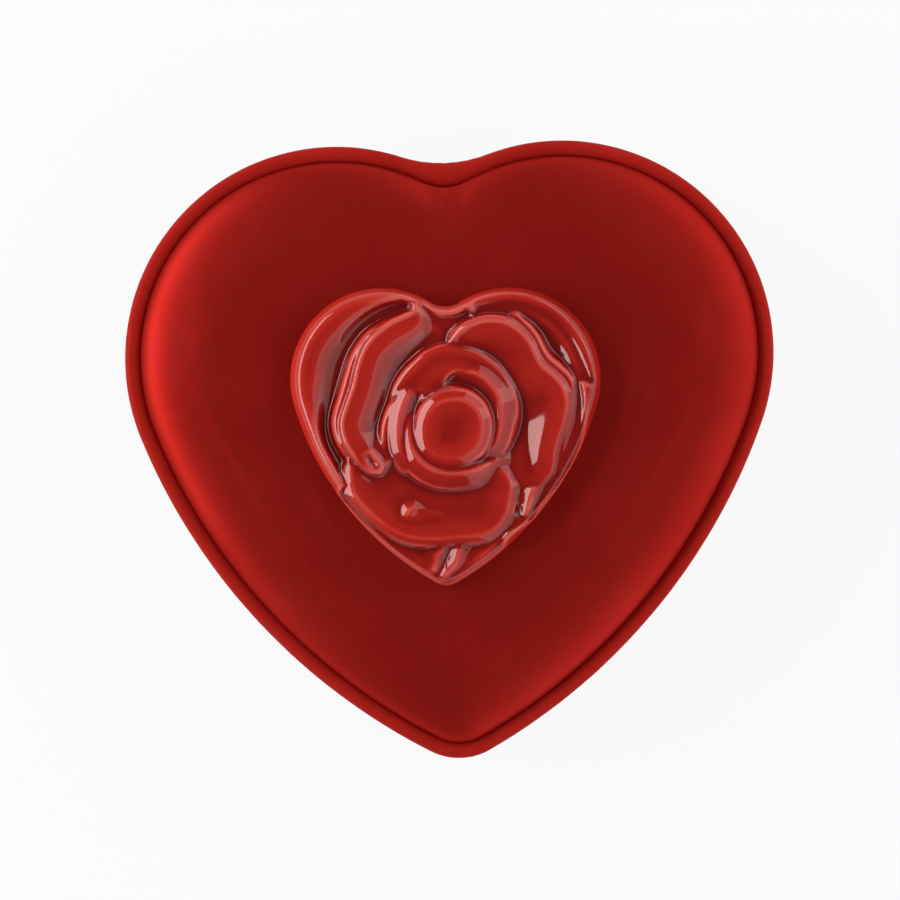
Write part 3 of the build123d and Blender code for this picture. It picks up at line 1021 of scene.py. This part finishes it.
# Outer petals first, because each lies over those before it
ROSE_PETALS = (
    Petal(
        "rim_low_right",
        (
            (41.6, 19.0, 7.6), (44.4, 13.0, 8.2), (44.6, 6.0, 8.4), (43.4, -1.0, 8.3),
            (40.6, -8.0, 8.1), (36.2, -15.0, 7.8), (30.6, -21.6, 7.6), (26.0, -27.0, 7.3),
            (20.0, -20.0, 5.4), (22.0, -5.0, 5.4), (30.0, 12.0, 5.6),
        ),
        dish=(2.6, 7.0), flank=(0.6, 1.5), bead=0.8,
    ),
    Petal(
        "rim_top_right",
        (
            (9.0, 40.0, 7.6), (10.0, 43.4, 8.6), (15.0, 45.2, 8.9), (22.0, 45.8, 9.0),
            (30.0, 43.9, 9.1), (37.0, 39.6, 9.2), (43.0, 32.4, 9.2), (46.6, 24.0, 9.0),
            (48.0, 16.8, 8.5), (44.0, 17.4, 7.8), (39.5, 19.0, 7.4), (30.0, 14.0, 6.6),
            (16.0, 25.0, 6.6), (10.0, 34.0, 6.6),
        ),
        dish=(2.7, 4.6), flank=(1.0, 1.0), bead=0.5,
    ),
    Petal(
        "tip_left",
        (
            (-1.9, -34.5, 7.8), (-3.0, -38.0, 8.2), (-5.0, -43.2, 8.2), (-11.0, -40.4, 7.9),
            (-20.0, -33.4, 7.8), (-29.0, -24.4, 7.8), (-34.0, -17.3, 7.6), (-26.0, -15.0, 5.6),
            (-10.0, -25.0, 5.6),
        ),
        dish=(2.0, 7.0), flank=(0.5, 2.0), bead=0.6,
    ),
    Petal(
        "tip_right",
        (
            (4.4, -36.0, 8.2), (3.0, -40.5, 8.6), (-1.0, -45.6, 8.4), (4.0, -44.2, 7.9),
            (12.0, -38.1, 8.0), (20.0, -31.0, 7.8), (26.0, -26.0, 7.5), (20.0, -20.0, 5.8),
            (8.0, -28.0, 6.2),
        ),
        dish=(2.0, 7.0), flank=(0.52, 2.4), bead=0.6,
    ),
    Petal(
        "right_fold",
        (
            (28.4, -13.0, 7.8), (27.2, -19.5, 8.6), (26.0, -25.5, 8.1), (28.6, -23.6, 7.4),
            (34.6, -14.0, 7.2), (33.0, -6.0, 6.8), (28.0, -6.0, 6.8),
        ),
        dish=(1.0, 6.0), flank=(0.55, 1.8), bead=0.4,
    ),
    Petal(
        "bottom",
        (
            (-29.6, -9.4, 8.4), (-30.2, -13.6, 9.2), (-28.4, -19.2, 9.4), (-22.6, -25.4, 9.4),
            (-16.0, -30.2, 9.4), (-10.0, -32.2, 9.4), (-3.0, -32.6, 9.4), (4.0, -32.0, 9.4),
            (10.5, -31.6, 9.4), (15.4, -29.2, 9.4), (18.6, -25.2, 9.3), (20.0, -20.4, 9.1),
            (19.6, -13.5, 8.4), (10.0, -6.0, 7.8), (-10.0, -4.0, 7.8), (-24.0, -7.0, 7.6),
        ),
        dish=(1.5, 9.0), flank=(0.55, 2.4), bead=0.22,
    ),
    Petal(
        "bottom_fold",
        (
            (-13.2, -26.6, 8.9), (-12.6, -24.4, 9.6), (-11.0, -23.2, 9.4), (-7.6, -23.6, 8.5),
            (-1.0, -25.0, 8.2), (-5.0, -27.6, 8.5), (-10.5, -28.0, 8.8),
        ),
        dish=(0.3, 5.0), flank=(0.52, 3.0), bead=0.0,
    ),
    Petal(
        "left_edge",
        (
            (-17.5, 36.6, 8.4), (-21.0, 35.0, 8.8), (-25.2, 31.7, 9.0), (-28.9, 26.0, 9.0),
            (-31.1, 19.5, 9.0), (-33.3, 12.0, 9.0), (-34.7, 7.6, 8.9), (-35.1, 3.6, 8.7),
            (-34.0, -1.0, 8.4), (-31.4, -5.8, 8.0), (-28.6, -9.0, 7.9), (-14.0, -2.0, 6.0),
            (-8.0, 10.0, 6.0), (-8.0, 25.0, 6.0), (-14.0, 33.0, 6.4),
        ),
        dish=(1.4, 8.0), flank=(0.9, 0.7), bead=0.35,
    ),
    Petal(
        "left",
        (
            (-9.0, 43.4, 8.6), (-9.6, 40.2, 9.3), (-12.6, 38.4, 9.6), (-17.2, 36.2, 9.8),
            (-21.6, 33.0, 10.0), (-25.4, 28.6, 10.2), (-27.8, 22.5, 10.2), (-29.2, 16.4, 10.2),
            (-31.4, 10.2, 10.1), (-33.0, 4.6, 9.9), (-32.0, -1.0, 9.6), (-29.4, -5.6, 9.3),
            (-26.6, -9.2, 9.2), (-23.2, -10.8, 9.2), (-20.9, -9.6, 9.0), (-14.0, -2.0, 6.8),
            (-8.0, 10.0, 6.8), (-2.0, 22.0, 6.8), (2.5, 31.0, 6.6), (1.0, 36.5, 6.8), (-3.5, 40.0, 7.4),
        ),
        dish=(3.4, 9.0), flat=3.6, flank=(0.9, 0.7), bead=0.4,
    ),
    Petal(
        "left_curl",
        (
            (-26.8, -5.8, 9.3), (-24.6, -4.8, 9.3), (-22.4, -6.6, 9.3), (-20.9, -9.4, 9.2),
            (-22.2, -10.9, 9.2), (-25.2, -9.4, 9.3),
        ),
        dish=(1.8, 1.6), flank=(0.9, 0.6), bead=0.2,
    ),
    Petal(
        "right_edge",
        (
            (20.4, 38.0, 8.2), (25.2, 36.4, 8.9), (29.0, 32.0, 9.1), (31.0, 28.0, 9.1),
            (33.2, 24.8, 9.1), (36.6, 21.9, 9.0), (39.8, 18.6, 8.8), (40.6, 14.0, 8.6),
            (40.0, 6.0, 8.4), (38.2, -1.0, 8.1), (36.4, -8.0, 7.7), (35.3, -13.0, 7.1),
            (20.0, -5.0, 6.0), (14.0, 20.0, 6.0),
        ),
        dish=(1.8, 8.0), flank=(0.9, 0.6), bead=0.6,
    ),
    Petal(
        "right",
        (
            (2.4, 29.6, 7.6, 1.0, 0.8), (4.4, 33.2, 8.9, 1.0, 0.8), (9.0, 35.8, 9.6, 1.0, 0.8),
            (14.0, 37.0, 10.0, 1.0, 0.8), (19.4, 36.3, 10.1, 1.0, 0.8), (23.6, 33.7, 10.1, 1.0, 0.8),
            (26.9, 30.1, 10.1, 1.0, 0.8), (28.6, 26.2, 10.0, 1.0, 0.8), (30.8, 22.6, 10.0, 1.0, 0.8),
            (34.6, 19.3, 9.9, 1.0, 0.82), (37.5, 15.7, 9.8, 0.9, 0.9), (38.6, 11.3, 9.6, 0.5, 0.98),
            (37.8, 5.8, 9.4, 0.0, 1.08), (36.0, 0.6, 9.1, 0.0, 1.14), (34.6, -4.6, 8.7, 0.0, 1.16),
            (33.6, -11.0, 8.0, 0.0, 0.9), (28.5, -16.0, 7.4, 0.0, 0.8), (22.0, -14.0, 7.0, 0.0, 0.8),
            (16.0, 0.0, 6.6), (10.0, 15.0, 6.6), (3.0, 24.0, 6.8),
        ),
        dish=(3.4, 12.5), flank=(0.6, 1.6), bead=0.6,
    ),
    Petal(
        "rosette_back",
        (
            (-15.4, 13.6, 8.4), (-12.8, 18.2, 8.8), (-8.8, 22.4, 8.7), (-4.8, 25.8, 8.5),
            (1.0, 27.6, 8.4), (8.0, 26.3, 8.4), (13.4, 23.2, 8.5), (17.8, 18.9, 8.6), (20.6, 12.8, 8.6),
            (20.8, 6.0, 8.4), (19.2, 0.0, 8.0), (15.0, -5.0, 7.8), (8.0, -8.0, 7.8), (-2.0, -9.0, 7.8),
            (-11.0, -6.5, 7.8), (-15.6, -1.0, 7.9), (-16.8, 6.0, 8.0),
        ),
        dish=(-1.2, 6.0), roll=2.0, flank=(0.45, 1.5), bead=0.0,
    ),
    Petal(
        "left_fold_edge",
        (
            (-12.4, 14.8, 8.4), (-16.6, 11.2, 8.7), (-19.1, 5.0, 8.7), (-19.9, -1.0, 8.5),
            (-18.8, -6.0, 8.0), (-9.0, -8.0, 7.6), (-6.0, 6.0, 7.6),
        ),
        dish=(0.5, 5.0), flank=(0.8, 0.6), bead=0.2,
    ),
    Petal(
        "left_fold",
        (
            (-10.0, 14.8, 9.6), (-12.8, 12.0, 10.4), (-14.7, 6.0, 10.6), (-15.0, 0.0, 10.5),
            (-14.0, -5.0, 10.0), (-11.5, -9.0, 9.2), (-5.0, -6.0, 8.8), (0.0, 4.0, 9.0),
            (-4.0, 12.0, 9.2),
        ),
        dish=(1.7, 4.0), flank=(0.52, 2.9), bead=0.4,
    ),
    Petal(
        "right_fold_inner",
        (
            (2.4, 20.4, 9.0), (9.0, 20.4, 10.0), (13.5, 17.6, 10.3), (16.8, 12.9, 10.4),
            (17.7, 7.0, 10.4), (16.9, 1.0, 10.2), (14.0, -4.0, 9.8), (8.0, -5.0, 9.0), (0.0, 6.0, 8.8),
            (-1.0, 15.0, 8.9),
        ),
        dish=(2.0, 5.0), flank=(0.5, 4.0), bead=0.6,
    ),
    Petal(
        "inner_ring",
        (
            (-6.5, 13.4, 10.0), (-2.0, 14.6, 10.5), (3.0, 14.6, 10.8), (7.8, 13.2, 11.0),
            (11.6, 10.0, 11.1), (13.2, 5.0, 10.8), (12.8, -0.5, 10.3), (10.0, -5.0, 9.9),
            (0.0, -4.0, 9.6), (-7.0, 2.0, 9.6),
        ),
        dish=(1.3, 3.5), flank=(0.6, 1.2), bead=0.5,
    ),
    Petal(
        "lower_crescent",
        (
            (-11.0, 6.0, 10.2), (-11.4, 1.0, 10.9), (-10.4, -4.0, 11.2), (-8.2, -7.6, 11.3),
            (-4.2, -10.5, 11.3), (1.0, -11.7, 11.2), (6.6, -11.3, 11.0), (10.6, -10.3, 10.6),
            (13.6, -8.9, 9.6), (15.6, -7.6, 8.7), (13.0, -6.2, 8.9), (9.0, -4.5, 9.8), (0.0, -2.0, 9.8),
            (-6.0, 4.0, 9.8),
        ),
        dish=(1.5, 3.2), flank=(0.5, 5.0), bead=0.6,
    ),
    Petal(
        "bud",
        (
            (-6.4, 3.2, 12.5, 0.0), (-4.9, 7.7, 12.6, 0.2), (-1.0, 10.9, 12.6, 0.8), (4.9, 11.5, 12.7),
            (9.5, 8.7, 12.7), (11.3, 3.6, 12.6, 0.8), (10.0, -2.0, 12.5, 0.2), (6.2, -5.3, 12.4, 0.0),
            (1.2, -6.3, 12.3, 0.0), (-3.6, -4.9, 12.3, 0.0), (-6.0, -1.3, 12.4, 0.0),
        ),
        dish=(1.0, 7.0), roll=2.2, flank=(0.52, 2.6), bead=0.45,
    ),
)


def eased(values: np.ndarray) -> np.ndarray:
    """Goes from 0 to 1 with level ends."""
    t = np.clip(values, 0, 1)
    return t * t * (3 - 2 * t)


def within(x: np.ndarray, y: np.ndarray, loop: np.ndarray) -> np.ndarray:
    """Tells which places lie inside a closed line.

    Args:
        x: Places.
        y: Places.
        loop: The line, one corner per row.

    Returns:
        True where a place is inside.
    """
    hit = np.zeros(x.shape, bool)
    for (x0, y0), (x1, y1) in zip(loop, np.roll(loop, -1, 0)):
        if y0 != y1:
            hit ^= ((y0 > y) != (y1 > y)) & (x < (x1 - x0) * (y - y0) / (y1 - y0) + x0)
    return hit


@dataclass
class RoseRelief:
    """Heights of the ornament's face, laid petal over petal on a square grid."""

    heart: HeartLine
    step: float = 0.25
    half: float = 53.0
    edge_spacing: float = 0.6
    rim_height: float = 9.0
    rim_dish: float = 3.3
    rim_top: float = 7.0
    rim_fall: float = 8.0
    rim_round: float = 6.0
    rim_crest: float = 0.6
    face_inset: float = 2.0
    side: float = 2.5
    blend: float = 3.0
    bead_width: float = 1.4
    foot_slope: float = 1.8
    # How far past its lip a petal is worked out, how softly the lip's heights spread from it, and how far
    # its face may lie below what it covers
    margin: float = 9.0
    evenness: float = 0.3
    sinking: float = 1.5
    # Widths over which the glaze softens edges, pools with painted shade in grooves, thins on the lips, and
    # over which painted shade fills dishes and painted light lies on bulges
    glaze: float = 0.42
    pool_width: float = 1.7
    lip_width: float = 0.7
    dish_width: float = 6.0
    # Depth of the glaze on a level place; what grooves add, part pooled glaze and part painted shade; painted
    # shade in dishes; what thin lips take; painted light on bulges and the rim
    level_depth: float = 0.45
    pooling_and_shade: float = 0.55
    groove_share: float = 0.75
    dish_shade: float = 0.15
    thinning: float = 0.45
    thinning_power: float = 1.5
    bulge_light: float = 0.14
    rim_light: float = 0.2

    def __post_init__(self) -> None:
        """Lays the petals and lets the glaze soften them."""
        axis = np.arange(-self.half, self.half + self.step / 2, self.step)
        self.x, self.y = np.meshgrid(axis, axis)
        edge, _ = self.heart.trace(self.edge_spacing)
        near = np.full(self.x.shape, FAR)
        for x, y in edge:
            near = np.minimum(near, (self.x - x) ** 2 + (self.y - y) ** 2)
        self.inset = np.sqrt(near) * np.where(within(self.x, self.y, edge), 1, -1)
        self.height = self.rim_height - self.rim_dish * self.rim_drop()
        for petal in ROSE_PETALS:
            self.lay(petal)
        self.height = self.softened(self.height, self.glaze)
        self.pool = self.glaze_depth_and_shade()

    def glaze_depth_and_shade(self) -> np.ndarray:
        """Finds how deep the glaze lies, with painted shade in grooves and dishes and painted light on bulges
        and the rim, which sets its colour.

        Returns:
            One depth per grid place: about 0 on the thinnest lips, about 1 in the deepest grooves.
        """
        face = self.inset > self.face_inset
        hollow = self.softened(self.height, self.pool_width) - self.height
        proud = self.height - self.softened(self.height, self.lip_width)
        dished = self.softened(self.height, self.dish_width) - self.height
        # Each is divided by a high percentile of its own values on the face
        dished = np.clip(dished / np.percentile(dished[face], 95), -1, 1)
        grooved = hollow / np.percentile(hollow[face], 97)
        thin = np.clip(proud / np.percentile(proud[face], 99), 0, 1) ** self.thinning_power
        # Painted shade: grooves darken as pooled glaze and as shade, dishes darken as shade only
        pooled_and_shaded = np.clip(self.groove_share * grooved + self.dish_shade * np.maximum(dished, 0), 0, 1)
        # Painted light: bulges are made lighter
        lit_bulges = np.minimum(dished, 0)
        # Painted light on the rim's shoulder, strongest on the left, the side of the left softbox
        lit_rim = eased((self.rim_round - self.inset) / 3) * eased((38 - self.x) / 30)
        depth = self.level_depth + self.pooling_and_shade * pooled_and_shaded - self.thinning * thin
        return depth + self.bulge_light * lit_bulges - self.rim_light * lit_rim

    def rim_drop(self) -> np.ndarray:
        """Falls from the rim into the heart, sooner at the cleft, low on the left and at the tip.

        Returns:
            The share of the fall at each grid place.
        """
        x, y = self.x, self.y
        cleft = 0.72 * np.clip((x + 34) / 20, 0, 1) * eased((y - 20) / 10) * eased((14 - x) / 8)
        low_left = 0.6 * eased((22 - y) / 26) * eased((4 - x) / 8)
        tip = 0.85 * eased((-24 - y) / 12)
        share = 1 - np.maximum(np.maximum(cleft, low_left), tip)
        return (1 - 0.45 * cleft) * eased((self.inset - self.rim_top * share) / (self.rim_fall * share))

    def rounded(self, face: np.ndarray, insets: np.ndarray) -> np.ndarray:
        """Rounds the face over at the rim.

        Args:
            face: Heights of the face.
            insets: How far inside the rim each lies.

        Returns:
            The rounded heights.
        """
        short = 1 - np.clip(insets / self.rim_round, 0, 1)
        crest = self.rim_height + self.rim_crest
        edge = self.side + (crest - self.side) * np.sqrt(np.maximum(0, 1 - short**2))
        edge = edge + np.maximum(0, insets - self.rim_round)
        return -np.logaddexp(-self.blend * face, -self.blend * edge) / self.blend

    def lay(self, petal: Petal) -> None:
        """Lays one petal over what is there.

        Args:
            petal: The petal.
        """
        loop = petal.curve()
        low, high = loop[:, :2].min(0) - self.margin, loop[:, :2].max(0) + self.margin
        across = (self.x[0] > low[0]) & (self.x[0] < high[0])
        along = (self.y[:, 0] > low[1]) & (self.y[:, 0] < high[1])
        part = np.ix_(along, across)
        x, y, below = self.x[part], self.y[part], self.height[part]
        near, weight = np.full(x.shape, FAR), np.zeros(x.shape)
        height, beaded, dished = (np.zeros(x.shape) for _ in range(3))
        for px, py, tall, bead, dish in loop:
            square = (x - px) ** 2 + (y - py) ** 2
            pull = 1 / (square + self.evenness) ** 2
            near = np.minimum(near, square)
            weight += pull
            height += tall * pull
            beaded += bead * pull
            dished += dish * pull
        far, height = np.sqrt(near), height / weight
        bead = petal.bead * np.clip(beaded / weight, 0, 1)
        depth, width = petal.dish[0] * dished / weight, petal.dish[1]
        inner = height - bead * eased(far / self.bead_width)
        inner = inner - (depth - bead) * eased((far - petal.flat) / width)
        slope, length = petal.flank
        turn = petal.roll * slope / math.hypot(1, slope)
        bent = np.minimum(far, turn)
        fall = petal.roll - np.sqrt(petal.roll**2 - bent**2)
        fall += np.clip(far - turn, 0, length) * slope + np.maximum(far - turn - length, 0) * self.foot_slope
        inside, outside = np.maximum(inner, below - self.sinking), np.maximum(below, height - fall)
        self.height[part] = np.where(within(x, y, loop[:, :2]), inside, outside)
        log.debug("rose: laid petal %s", petal.name)

    def softened(self, values: np.ndarray, spread: float) -> np.ndarray:
        """Blurs values on the grid.

        Args:
            values: One value per grid place.
            spread: How far they blur, in millimetres.

        Returns:
            The blurred values.
        """
        reach = math.ceil(3 * spread / self.step)
        weights = np.exp(-0.5 * (np.arange(-reach, reach + 1) * self.step / spread) ** 2)
        weights /= weights.sum()
        for _ in range(2):
            padded = np.pad(values, ((reach, reach), (0, 0)), mode="edge")
            values = sum(w * padded[k : k + len(values)] for k, w in enumerate(weights)).T
        return values

    def read(self, values: np.ndarray, places: np.ndarray) -> np.ndarray:
        """Reads values of the grid at any place.

        Args:
            values: One value per grid place.
            places: One place per row.

        Returns:
            One value per place.
        """
        at = np.clip((places + self.half) / self.step, 0, len(values) - 1.001)
        cell = at.astype(int)
        (u, v), (i, j) = (at - cell).T, cell.T
        low = values[j, i] * (1 - u) + values[j, i + 1] * u
        high = values[j + 1, i] * (1 - u) + values[j + 1, i + 1] * u
        return low * (1 - v) + high * v


@dataclass
class RoseHeart:
    """Ceramic heart with a rose in relief under thick glaze."""

    heart: HeartLine = HeartLine(100.0, 96.0, 29.5, 97.5, 6.0, 8.6)
    place: tuple[float, float] = (-1.9, 4.6)
    turned_deg: float = -1.3
    eye: tuple[float, float] = (0.4, 1.9)
    spacing: float = 0.5
    # Inset and height of the rounded foot
    foot: Profile = ((0.6, 0.0), (0.15, 0.25), (0.0, 0.8))
    rim_rings: int = 16
    # The rim's rings lie closer together towards its steep side
    rim_crowding: float = 1.6
    rings: int = 120
    node: str = "rose_heart"

    def build(self) -> bpy.types.Object:
        """Makes the glazed heart.

        Returns:
            The piece.
        """
        relief = RoseRelief(self.heart)
        points, normals = self.heart.trace(self.spacing, 2.0)
        count = len(points)
        rows = [np.column_stack([points - inset * normals, np.full(count, z)]) for inset, z in self.foot]
        insets = relief.rim_round * np.linspace(0, 1, self.rim_rings) ** self.rim_crowding
        for inset in insets:
            flat = points - inset * normals
            face = relief.read(relief.height, flat)
            rows.append(np.column_stack([flat, relief.rounded(face, np.full(count, inset))]))
        inside, eye = points - insets[-1] * normals, np.array(self.eye)
        for k in range(1, self.rings):
            flat = eye + (inside - eye) * (1 - k / self.rings)
            face = relief.read(relief.height, flat)
            rows.append(np.column_stack([flat, relief.rounded(face, relief.read(relief.inset, flat))]))
        across = len(rows)
        ends = np.array([[*self.eye, 0.0], [*self.eye, relief.read(relief.height, eye[None])[0]]])
        grid = np.vstack([np.stack(rows, axis=1).reshape(-1, 3), ends])
        faces = loop_faces(count, across, False)
        bottom, top = count * across, count * across + 1
        for i in range(count):
            j = (i + 1) % count
            faces.append((bottom, j * across, i * across))
            faces.append((top, i * across + across - 1, j * across + across - 1))
        turn = math.radians(self.turned_deg)
        spin = np.array([[math.cos(turn), math.sin(turn)], [-math.sin(turn), math.cos(turn)]])
        placed = grid.copy()
        placed[:, :2] = grid[:, :2] @ spin + np.array(self.place)
        placed[:, 2] += level(self.node, False)
        piece = make_piece("glazed_rose_heart", placed, faces)
        # Its colour follows the glaze's depth, with painted shade and painted light added
        pool = piece.data.attributes.new("pool", "FLOAT", "POINT")
        pool.data.foreach_set("value", relief.read(relief.pool, grid[:, :2]).astype(np.float32))
        settle(piece, ROSE_GLAZE, Body.LID, "red_glaze", self.node)
        return piece


@dataclass
class BoardWork:
    """The boards, papers and cards, which keep the frame's own shapes."""

    edge: float = 0.12

    def dress(self, frame: dict[str, Any]) -> None:
        """Gives each board and card its finish, and eases the cut edges that show.

        Args:
            frame: What the frame holds.
        """
        finishes = {
            "neck_collar": LINED_BOARD,
            "base_sheet": UNDER_PAPER,
            "floor_liner": LINING_PAPER,
            "lid_liner": LINING_PAPER,
            "glue_pad": FOAM_TAPE,
        }
        for name, node in frame["nodes"].items():
            if node.hide_render:
                continue
            divider = name.startswith("divider")
            finish = CELL_CARD if divider else finishes.get(name, GREYBOARD)
            node.data.materials.clear()
            node.data.materials.append(finish.material())
            if divider or name == "neck_collar":
                ease = node.modifiers.new("eased_edges", "BEVEL")
                ease.width = self.edge * MM
                ease.segments = 2
                ease.limit_method = "ANGLE"
                ease.harden_normals = True
            log.info("%s: dressed in %s", name, finish.name)


@dataclass
class Studio:
    """White table, soft lamps, and a camera that looks straight down."""

    table_m: float = 12.0
    table_white: float = 0.9
    turned_deg: float = 1.6
    frame_m: float = 0.2912
    height_m: float = 2.2
    aim_m: tuple[float, float] = (-0.00065, 0.0003)
    lid_m: float = 0.05
    overhead: float = 0.08
    around: float = 0.8
    wall_top: float = 0.42
    wall_fade: float = 0.1

    def floor(self) -> None:
        """Lays the white table."""
        half = self.table_m / 2
        corners = [(-half, -half, 0), (half, -half, 0), (half, half, 0), (-half, half, 0)]
        mesh = bpy.data.meshes.new("table")
        mesh.from_pydata(corners, [], [(0, 1, 2, 3)])
        table = bpy.data.objects.new("table", mesh)
        bpy.context.scene.collection.objects.link(table)
        made = bpy.data.materials.new("white_table")
        made.use_nodes = True
        tree = made.node_tree
        tree.nodes.clear()
        # Matt white paint, which the camera and the glaze see as a white ground
        path = add_node(tree, "ShaderNodeLightPath").outputs
        paint = add_node(tree, "ShaderNodeBsdfDiffuse", {"Color": (0.8, 0.8, 0.8, 1)})
        glow = add_node(tree, "ShaderNodeEmission", {"Color": (1, 1, 1, 1), "Strength": 1.0})
        seen = add_node(
            tree, "ShaderNodeMath", {0: path["Is Camera Ray"], 1: path["Is Glossy Ray"]}, operation="MAXIMUM"
        )
        share = add_node(
            tree, "ShaderNodeMath", {0: seen.outputs[0], 1: self.table_white}, operation="MULTIPLY"
        )
        both = add_node(
            tree, "ShaderNodeMixShader", {0: share.outputs[0], 1: paint.outputs[0], 2: glow.outputs[0]}
        )
        add_node(tree, "ShaderNodeOutputMaterial", {"Surface": both.outputs[0]})
        mesh.materials.append(made)

    def lamp(
        self, name: str, place: tuple[float, float, float], size: tuple[float, float], radiance: float
    ) -> None:
        """Hangs a soft panel that faces the box.

        Args:
            name: The lamp's name.
            place: Where it hangs, in metres.
            size: Its width and height, in metres.
            radiance: How bright its face is, where 1 is white.
        """
        light = bpy.data.lights.new(name, "AREA")
        light.shape = "RECTANGLE"
        light.size, light.size_y = size
        light.energy = radiance * math.pi * size[0] * size[1]
        lamp = bpy.data.objects.new(name, light)
        lamp.location = place
        lamp.rotation_mode = "QUATERNION"
        lamp.rotation_quaternion = (Vector((0, 0, self.lid_m)) - Vector(place)).to_track_quat("-Z", "Y")
        bpy.context.scene.collection.objects.link(lamp)

    def lights(self) -> None:
        """Hangs the lamps and sets the dim room round them."""
        self.lamp("left_softbox", (-0.82, 0.18, 0.66), (1.4, 0.36), 5.8)
        self.lamp("right_panel", (0.95, -0.4, 0.8), (2.3, 1.3), 0.95)
        self.lamp("back_panel", (0.75, 0.65, 0.7), (1.1, 0.8), 1.3)
        world = bpy.data.worlds.new("white_room")
        bpy.context.scene.world = world
        world.use_nodes = True
        tree = world.node_tree
        tree.nodes.clear()
        way = add_node(tree, "ShaderNodeTexCoord").outputs["Generated"]
        rise = add_node(tree, "ShaderNodeSeparateXYZ", {0: way})
        walls = add_node(tree, "ShaderNodeValToRGB", {"Fac": rise.outputs[2]})
        low, high = walls.color_ramp.elements
        low.position, low.color = self.wall_top - self.wall_fade, (*[self.around] * 3, 1.0)
        high.position, high.color = self.wall_top + self.wall_fade, (*[self.overhead] * 3, 1.0)
        room = add_node(tree, "ShaderNodeBackground", {"Color": walls.outputs[0], "Strength": 1.0})
        white = add_node(tree, "ShaderNodeBackground", {"Color": (1, 1, 1, 1), "Strength": 1.0})
        seen = add_node(tree, "ShaderNodeLightPath").outputs["Is Camera Ray"]
        both = add_node(tree, "ShaderNodeMixShader", {0: seen, 1: room.outputs[0], 2: white.outputs[0]})
        add_node(tree, "ShaderNodeOutputWorld", {"Surface": both.outputs[0]})

    def camera(self) -> None:
        """Sets the camera over the box, with the photograph's framing."""
        data = bpy.data.cameras.new("overhead")
        data.lens = data.sensor_width * self.height_m / self.frame_m
        data.clip_end = 20.0
        camera = bpy.data.objects.new("overhead", data)
        camera.location = (*self.aim_m, self.lid_m + self.height_m)
        camera.rotation_euler = (0, 0, -math.radians(self.turned_deg))
        bpy.context.scene.collection.objects.link(camera)
        bpy.context.scene.camera = camera

    def build(self) -> None:
        """Sets up the table, the lamps and the camera."""
        bpy.context.scene.view_settings.view_transform = "Standard"
        self.floor()
        self.lights()
        self.camera()


def main() -> None:
    """Dresses the frame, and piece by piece."""
    logging.basicConfig(level=logging.INFO, format="%(name)s: %(message)s")
    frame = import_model()
    outline = BoxOutline()
    wrap = SatinWrap(outline)
    pieces = [wrap.base(), wrap.lid()]
    pieces += [part.build() for part in (Piping(outline), PaddedTop(outline), RoseHeart())]
    for piece in pieces:
        log.info("%s: %d points", piece.name, len(piece.data.vertices))
    BoardWork().dress(frame)
    Studio().build()


if __name__ == "__main__":
    main()
